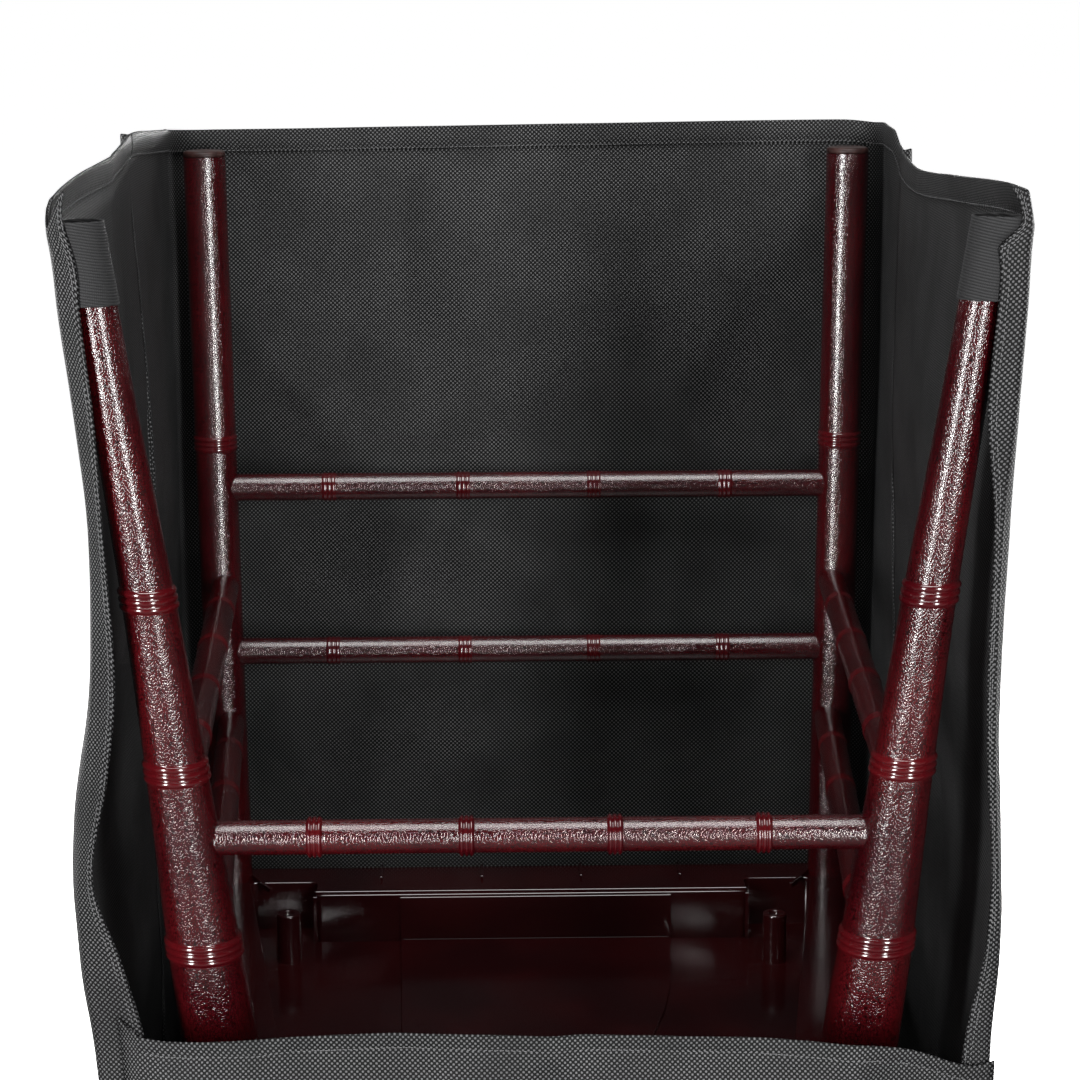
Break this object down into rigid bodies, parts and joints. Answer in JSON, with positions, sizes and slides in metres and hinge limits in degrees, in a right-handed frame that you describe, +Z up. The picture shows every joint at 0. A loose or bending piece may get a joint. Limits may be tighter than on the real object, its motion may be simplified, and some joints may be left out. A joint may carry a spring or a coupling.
{
  "type": "chiavari chair cover with chair",
  "caption": "Slip-on chiavari chair cover of black spunbonded cloth, standing on its closed end with a plain turned-leg chair upside down inside; tall walls, low back panel, elastic foot loops.",
  "frame": {"origin": "on the floor under the middle of the seat's width, midway between the front legs and the rear posts, on the underside of the closed end", "axes": "+Z up towards the chair's feet, +Y towards the chair's front, -Y towards the low back panel"},
  "size_m": [0.4298, 0.4797, 0.9334],
  "materials": {
    "cloth": "matte black point-bonded spunbond",
    "strap": "ribbed black elastic",
    "resin": "mahogany resin with a fine pebbled gloss",
    "glide": "brown nylon"
  },
  "bodies": {
    "root": {"back_lower_rail": "resin", "back_panel": "cloth", "back_spindle_1": "resin", "back_spindle_2": "resin", "back_spindle_3": "resin", "back_spindle_4": "resin", "back_spindle_5": "resin", "back_upper_rail": "resin", "crest_rail": "resin", "end_panel": "cloth", "front_leg_left": "resin", "front_leg_right": "resin", "front_panel": "cloth", "front_stretcher_1": "resin", "front_stretcher_2": "resin", "glide_left": "glide", "glide_right": "glide", "rear_post_left": "resin", "rear_post_right": "resin", "rear_stretcher": "resin", "seat": "resin", "seat_boss_left": "resin", "seat_boss_right": "resin", "seat_plate": "resin", "side_panel_left": "cloth", "side_panel_right": "cloth", "side_stretcher_left_1": "resin", "side_stretcher_left_2": "resin", "side_stretcher_right_1": "resin", "side_stretcher_right_2": "resin", "strap_left": "strap", "strap_right": "strap"}
  },
  "joints": []
}
